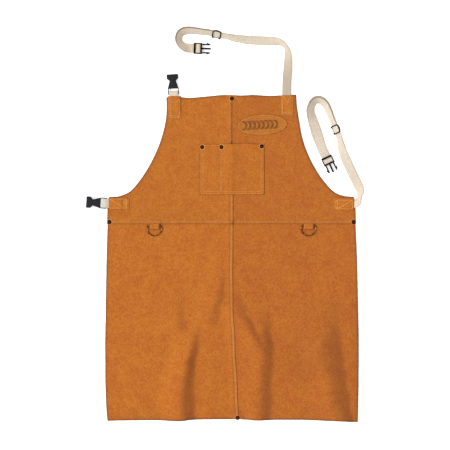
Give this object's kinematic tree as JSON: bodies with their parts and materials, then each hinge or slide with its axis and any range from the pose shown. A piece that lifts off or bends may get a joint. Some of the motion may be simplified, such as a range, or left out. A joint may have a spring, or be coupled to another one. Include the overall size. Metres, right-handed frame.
{
  "type": "welding apron",
  "caption": "Suede leather welding apron with a bib, divided chest pocket, D-rings and adjustable webbing neck and waist straps with side-release buckles.",
  "frame": {"origin": "where the centre seam crosses the waist seam, on the leather's back face", "axes": "+X to the right seen from the front, +Y from the hem towards the bib, +Z out of the front; the apron lies flat on z = 0"},
  "size_m": [0.7824, 1.1085, 0.0313],
  "materials": {
    "hide": "rough suede",
    "strap_web": "woven, matt",
    "buckle": "moulded",
    "ring_wire": "antiqued",
    "rivet": "dark japanned"
  },
  "bodies": {
    "apron": {"bib_left": "hide", "bib_right": "hide", "skirt_left": "hide", "skirt_right": "hide", "chest_pocket": "hide", "oval_badge": "hide", "neck_tab_left": "hide", "neck_tab_right": "hide", "waist_tab_left": "hide", "waist_tab_right": "hide", "ring_loop_left": "hide", "ring_loop_right": "hide", "rivet_caps": "rivet", "rivet_posts": "rivet", "neck_short_strap": "strap_web", "waist_short_strap": "strap_web", "neck_strap_root": "strap_web", "waist_strap_root": "strap_web"},
    "ring_left": {"d_ring_left": "ring_wire"},
    "ring_right": {"d_ring_right": "ring_wire"},
    "neck_socket": {"neck_buckle_socket": "buckle"},
    "waist_socket": {"waist_buckle_socket": "buckle"},
    "neck_webbing": {"neck_strap": "strap_web", "neck_strap_loop": "strap_web"},
    "waist_webbing": {"waist_strap": "strap_web", "waist_strap_loop": "strap_web"},
    "neck_adjuster": {"neck_slider": "buckle"},
    "waist_adjuster": {"waist_slider": "buckle"},
    "neck_plug": {"neck_buckle_plug": "buckle", "neck_plug_webbing": "strap_web"},
    "waist_plug": {"waist_buckle_plug": "buckle", "waist_plug_webbing": "strap_web"},
    "neck_arm_left": {"neck_plug_arm_left": "buckle"},
    "neck_arm_right": {"neck_plug_arm_right": "buckle"},
    "waist_arm_left": {"waist_plug_arm_left": "buckle"},
    "waist_arm_right": {"waist_plug_arm_right": "buckle"}
  },
  "joints": [
    {"name": "ring_left_swing", "type": "hinge", "parent": "apron", "child": "ring_left", "pos_m": [-0.217, -0.01, 0.0046], "axis": [-1, 0, 0], "range_deg": [0, 170]},
    {"name": "ring_right_swing", "type": "hinge", "parent": "apron", "child": "ring_right", "pos_m": [0.217, -0.01, 0.0046], "axis": [-1, 0, 0], "range_deg": [0, 170]},
    {"name": "neck_socket_pivot", "type": "hinge", "parent": "apron", "child": "neck_socket", "pos_m": [-0.163, 0.3604, 0.00475], "axis": [0.9976, 0.0698, 0], "range_deg": [0, 135]},
    {"name": "waist_socket_pivot", "type": "hinge", "parent": "apron", "child": "waist_socket", "pos_m": [-0.3534, 0.0525, 0.00475], "axis": [0.0698, 0.9976, 0], "range_deg": [0, 135]},
    {"name": "neck_strap_lift", "type": "hinge", "parent": "apron", "child": "neck_webbing", "pos_m": [0.1555, 0.3562, 0.0009], "axis": [1, 0, 0], "range_deg": [0, 90]},
    {"name": "waist_strap_lift", "type": "hinge", "parent": "apron", "child": "waist_webbing", "pos_m": [0.3598, 0.0717, 0], "axis": [0.309, 0.9511, 0], "range_deg": [0, 60]},
    {"name": "neck_adjuster_slide", "type": "slide", "parent": "neck_webbing", "child": "neck_adjuster", "axis": [-0.9791, 0.2033, 0], "range_m": [-0.01, 0.01]},
    {"name": "waist_adjuster_slide", "type": "slide", "parent": "waist_webbing", "child": "waist_adjuster", "axis": [-0.3773, 0.9261, 0], "range_m": [-0.01, 0.01]},
    {"name": "neck_plug_pivot", "type": "hinge", "parent": "neck_webbing", "child": "neck_plug", "pos_m": [-0.1081, 0.48956, 0.00365], "axis": [-0.0349, -0.9994, 0], "range_deg": [0, 95]},
    {"name": "waist_plug_pivot", "type": "hinge", "parent": "waist_webbing", "child": "waist_plug", "pos_m": [0.26572, 0.18522, 0.00365], "axis": [-0.9011, -0.4337, 0], "range_deg": [0, 95]},
    {"name": "neck_arm_left_squeeze", "type": "hinge", "parent": "neck_plug", "child": "neck_arm_left", "pos_m": [-0.08241, 0.50027, 0.004], "axis": [0, 0, -1], "range_deg": [0, 8], "stiffness_Nm_per_rad": 1.4},
    {"name": "neck_arm_right_squeeze", "type": "hinge", "parent": "neck_plug", "child": "neck_arm_right", "pos_m": [-0.08322, 0.47709, 0.004], "axis": [0, 0, 1], "range_deg": [0, 8], "stiffness_Nm_per_rad": 1.4},
    {"name": "waist_arm_left_squeeze", "type": "hinge", "parent": "waist_plug", "child": "waist_arm_left", "pos_m": [0.28714, 0.16745, 0.004], "axis": [0, 0, -1], "range_deg": [0, 8], "stiffness_Nm_per_rad": 1.4},
    {"name": "waist_arm_right_squeeze", "type": "hinge", "parent": "waist_plug", "child": "waist_arm_right", "pos_m": [0.26624, 0.15739, 0.004], "axis": [0, 0, 1], "range_deg": [0, 8], "stiffness_Nm_per_rad": 1.4}
  ]
}
